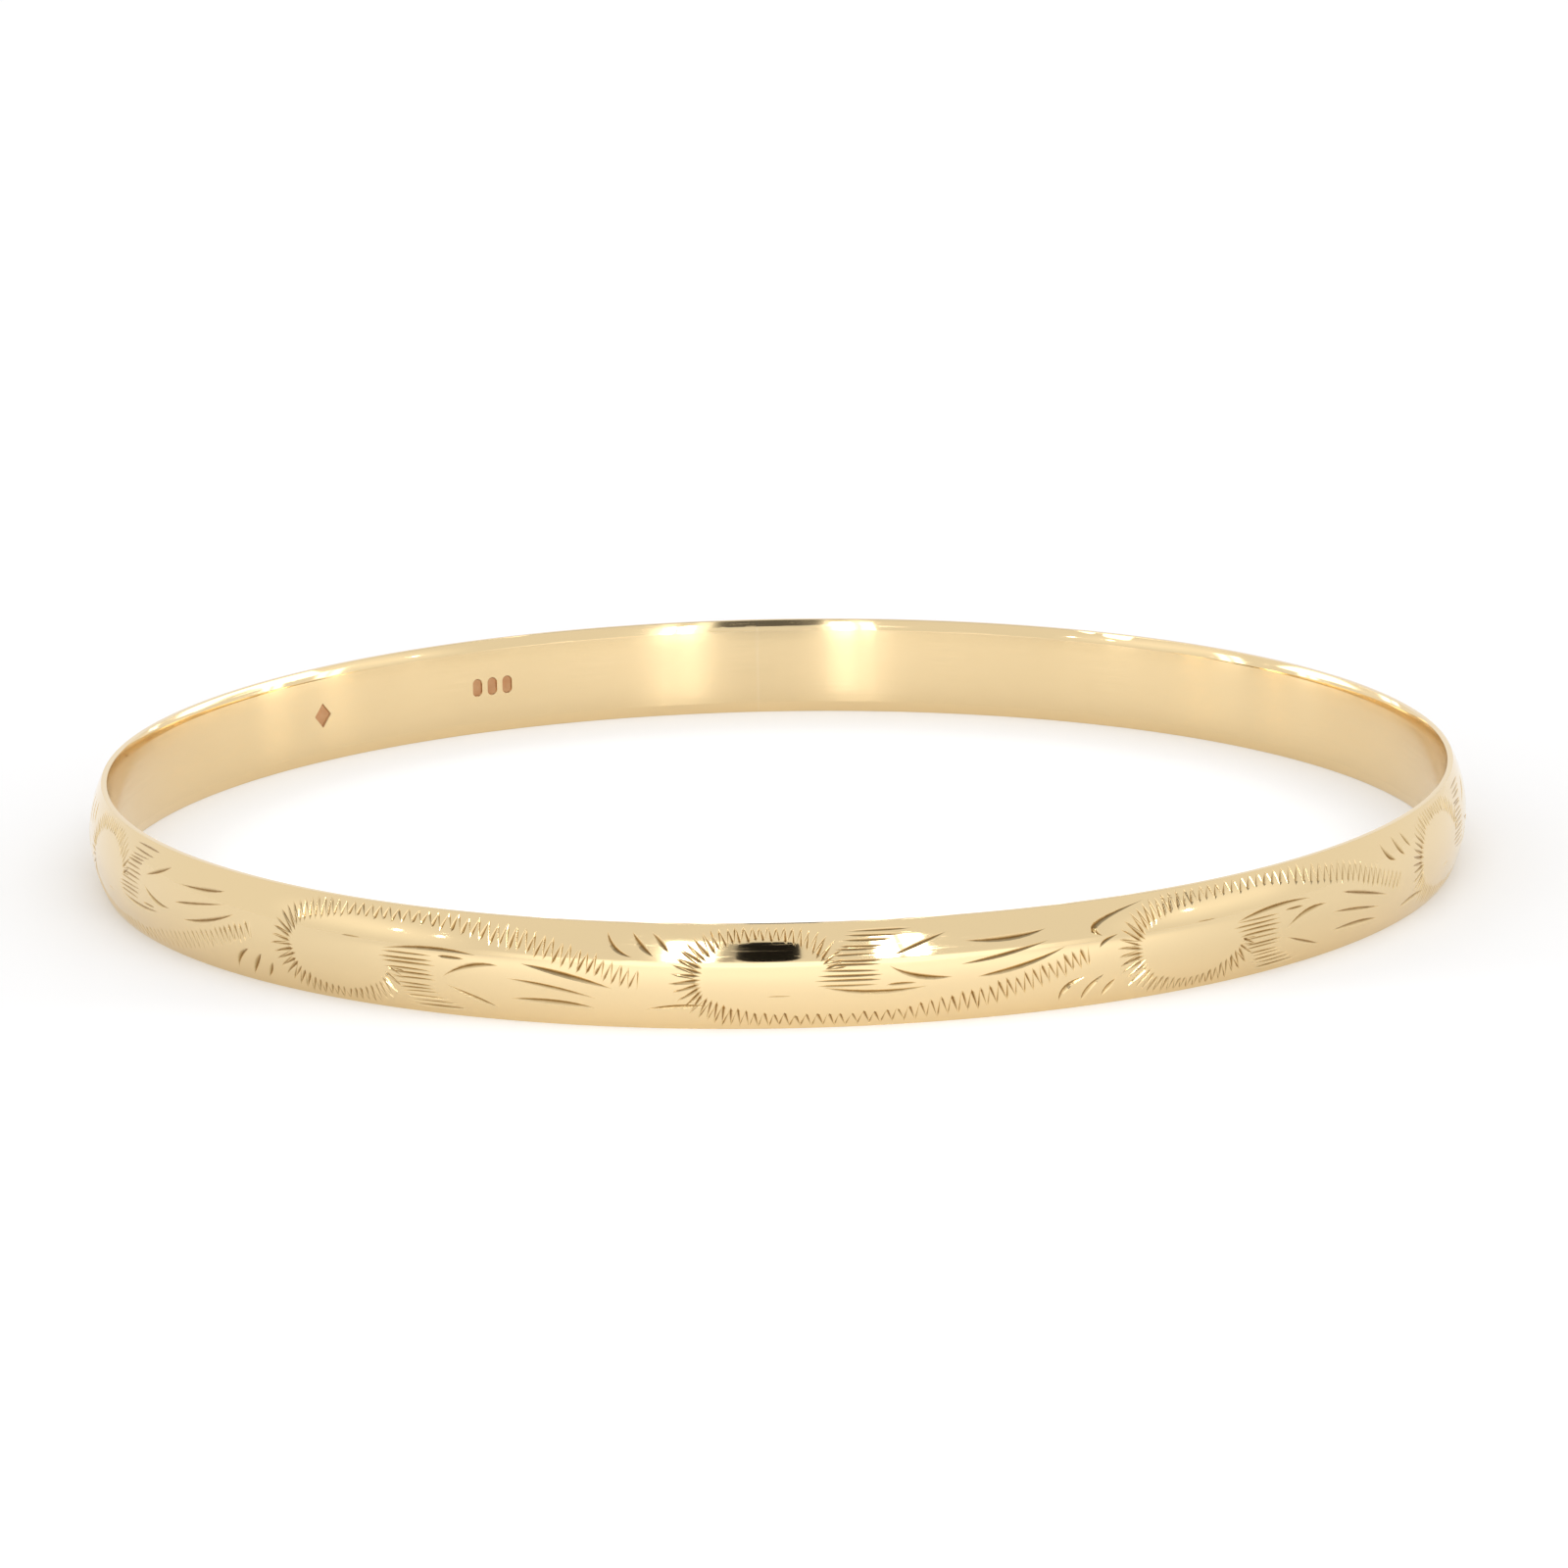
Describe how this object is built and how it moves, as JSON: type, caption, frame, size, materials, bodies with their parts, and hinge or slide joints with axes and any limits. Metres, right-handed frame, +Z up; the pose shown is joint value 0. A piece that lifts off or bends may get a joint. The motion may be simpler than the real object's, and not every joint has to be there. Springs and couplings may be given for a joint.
{
  "type": "bangle bracelet",
  "caption": "Closed slip-on bangle with a polished half-round outside, an engraved leaf pattern and a plain satin inside.",
  "frame": {"origin": "centre of the opening, at the height of the surface that the bangle lies on", "axes": "+Z up along the ring's axis; +Y towards the soldered joint; +X completes a right-handed frame"},
  "size_m": [0.067, 0.067, 0.0049],
  "materials": {
    "gold": "polished outside, satin inside",
    "solder": "polished, slightly paler than the gold"
  },
  "bodies": {
    "root": {"band": "gold", "solder_seam": "solder"}
  },
  "joints": []
}
